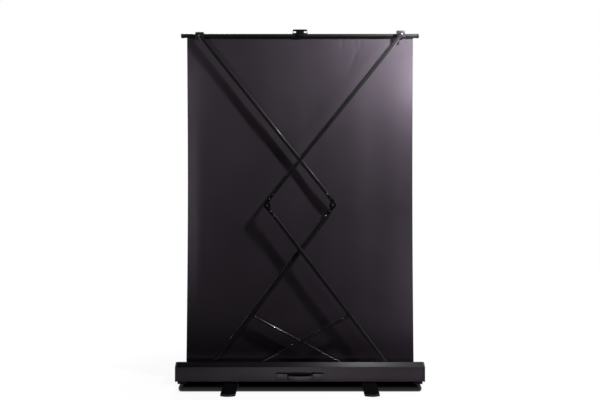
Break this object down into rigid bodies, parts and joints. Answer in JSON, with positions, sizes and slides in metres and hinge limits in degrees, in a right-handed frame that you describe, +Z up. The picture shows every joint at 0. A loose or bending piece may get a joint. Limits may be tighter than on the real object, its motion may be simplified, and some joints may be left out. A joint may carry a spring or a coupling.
{
  "type": "pull up projection screen",
  "caption": "Floor-standing projection screen whose cloth is pulled up out of a long case and held by a folding scissor frame with gas struts.",
  "frame": {"origin": "on the floor, under the middle of the object", "axes": "+Z up, +X along the case to the right when the folding frame faces the viewer, +Y towards the side that the picture is projected on"},
  "size_m": [1.6206, 0.47, 2.3261],
  "materials": {
    "case_black": "semi-matt powder coat",
    "cap_black": "moulded, fine grain",
    "arm_black": "satin black tube",
    "rubber_black": "matt",
    "steel_bright": "zinc plated",
    "steel_black": "gloss black",
    "cloth_black": "coated cloth, matt",
    "roller_alloy": "mill finish"
  },
  "bodies": {
    "case": {"case_housing": "case_black", "end_cap_left": "cap_black", "end_cap_right": "cap_black", "end_pad_left": "rubber_black", "end_pad_right": "rubber_black", "carry_handle_base": "cap_black", "carry_handle_grip": "rubber_black", "bumper_left": "rubber_black", "bumper_right": "rubber_black", "roller_bracket_left": "steel_bright", "roller_bracket_right": "steel_bright", "roller_shaft": "steel_bright", "spring_cartridge": "cap_black", "arm_base_bracket_left": "steel_bright", "arm_base_bracket_right": "steel_bright", "base_pin_left": "steel_bright", "base_pin_right": "steel_bright", "strut_anchor_left": "steel_bright", "strut_anchor_right": "steel_bright", "foot_pivot_left": "steel_black", "foot_pivot_right": "steel_black", "screen_fabric": "cloth_black"},
    "roller": {"roller_tube": "roller_alloy", "roller_plug_left": "cap_black", "roller_plug_right": "cap_black", "fabric_roll": "cloth_black"},
    "foot_left": {"foot_left": "cap_black", "foot_sole_left": "rubber_black"},
    "foot_right": {"foot_right": "cap_black", "foot_sole_right": "rubber_black"},
    "lower_arm_a": {"lower_arm_a": "arm_black", "lower_elbow_a": "cap_black", "elbow_rivet_a": "steel_bright", "strut_bracket_a": "steel_bright", "crossing_collar": "cap_black"},
    "lower_arm_b": {"lower_arm_b": "arm_black", "lower_elbow_b": "cap_black", "elbow_rivet_b": "steel_bright", "strut_bracket_b": "steel_bright"},
    "upper_arm_a": {"upper_arm_a": "arm_black", "upper_elbow_a": "cap_black", "arm_tip_a": "cap_black"},
    "upper_arm_b": {"upper_arm_b": "arm_black", "upper_elbow_b": "cap_black", "arm_tip_b": "cap_black", "top_rivet_b": "steel_bright"},
    "strut_cylinder_a": {"strut_cylinder_a": "steel_black"},
    "strut_rod_a": {"strut_rod_a": "steel_bright"},
    "strut_cylinder_b": {"strut_cylinder_b": "steel_black"},
    "strut_rod_b": {"strut_rod_b": "steel_bright"},
    "top_bar": {"top_bar": "arm_black", "bar_plug_left": "cap_black", "bar_plug_right": "cap_black", "arm_bracket_left": "steel_black", "arm_bracket_right": "steel_black", "lift_handle": "cap_black", "hem_rod": "steel_bright", "top_pin_a": "steel_bright"}
  },
  "joints": [
    {"name": "frame_fold", "type": "hinge", "parent": "case", "child": "lower_arm_a", "pos_m": [-0.6165, -0.012, 0.058], "axis": [0, 1, 0], "range_deg": [0, 52.59], "deforming": ["screen_fabric"]},
    {"name": "lower_arm_b_fold", "type": "hinge", "parent": "case", "child": "lower_arm_b", "pos_m": [0.6165, -0.029, 0.058], "axis": [0, -1, 0], "range_deg": [0, 52.6]},
    {"name": "elbow_a_fold", "type": "hinge", "parent": "lower_arm_a", "child": "upper_arm_a", "pos_m": [0.21532, -0.012, 1.15787], "axis": [0, -1, 0], "range_deg": [0, 102.95]},
    {"name": "elbow_b_fold", "type": "hinge", "parent": "lower_arm_b", "child": "upper_arm_b", "pos_m": [-0.21532, -0.029, 1.15787], "axis": [0, 1, 0], "range_deg": [0, 102.95]},
    {"name": "bar_level", "type": "hinge", "parent": "upper_arm_a", "child": "top_bar", "pos_m": [-0.668, -0.012, 2.28307], "axis": [0, 1, 0], "range_deg": [0, 50.35]},
    {"name": "strut_a_swing", "type": "hinge", "parent": "lower_arm_a", "child": "strut_cylinder_a", "pos_m": [-0.30521, -0.012, 0.42547], "axis": [0, -1, 0], "range_deg": [0, 80.39]},
    {"name": "strut_a_stroke", "type": "slide", "parent": "strut_cylinder_a", "child": "strut_rod_a", "axis": [-0.8848, 0, 0.466], "range_m": [0, 0.2666]},
    {"name": "strut_b_swing", "type": "hinge", "parent": "lower_arm_b", "child": "strut_cylinder_b", "pos_m": [0.30521, -0.029, 0.42547], "axis": [0, 1, 0], "range_deg": [0, 80.39]},
    {"name": "strut_b_stroke", "type": "slide", "parent": "strut_cylinder_b", "child": "strut_rod_b", "axis": [0.8848, 0, 0.466], "range_m": [0, 0.2666]},
    {"name": "cloth_winding", "type": "hinge", "parent": "case", "child": "roller", "pos_m": [0, 0.0347, 0.053], "axis": [1, 0, 0], "range_deg": [0, 5410]},
    {"name": "foot_left_swivel", "type": "hinge", "parent": "case", "child": "foot_left", "pos_m": [-0.445, 0, 0], "axis": [0, 0, 1], "range_deg": [0, 90]},
    {"name": "foot_right_swivel", "type": "hinge", "parent": "case", "child": "foot_right", "pos_m": [0.445, 0, 0], "axis": [0, 0, 1], "range_deg": [0, 90]}
  ],
  "couplings": [
    {"joint": "lower_arm_b_fold", "follows": "frame_fold", "ratio": 1},
    {"joint": "elbow_a_fold", "follows": "frame_fold", "ratio": 1.957},
    {"joint": "elbow_b_fold", "follows": "frame_fold", "ratio": 1.957},
    {"joint": "bar_level", "follows": "frame_fold", "ratio": 0.95695},
    {"joint": "strut_a_swing", "follows": "frame_fold", "ratio": 1.5282},
    {"joint": "strut_a_stroke", "follows": "frame_fold", "m_per_rad": 0.29037},
    {"joint": "strut_b_swing", "follows": "frame_fold", "ratio": 1.5282},
    {"joint": "strut_b_stroke", "follows": "frame_fold", "m_per_rad": 0.29037},
    {"joint": "cloth_winding", "follows": "frame_fold", "ratio": 102.8}
  ]
}
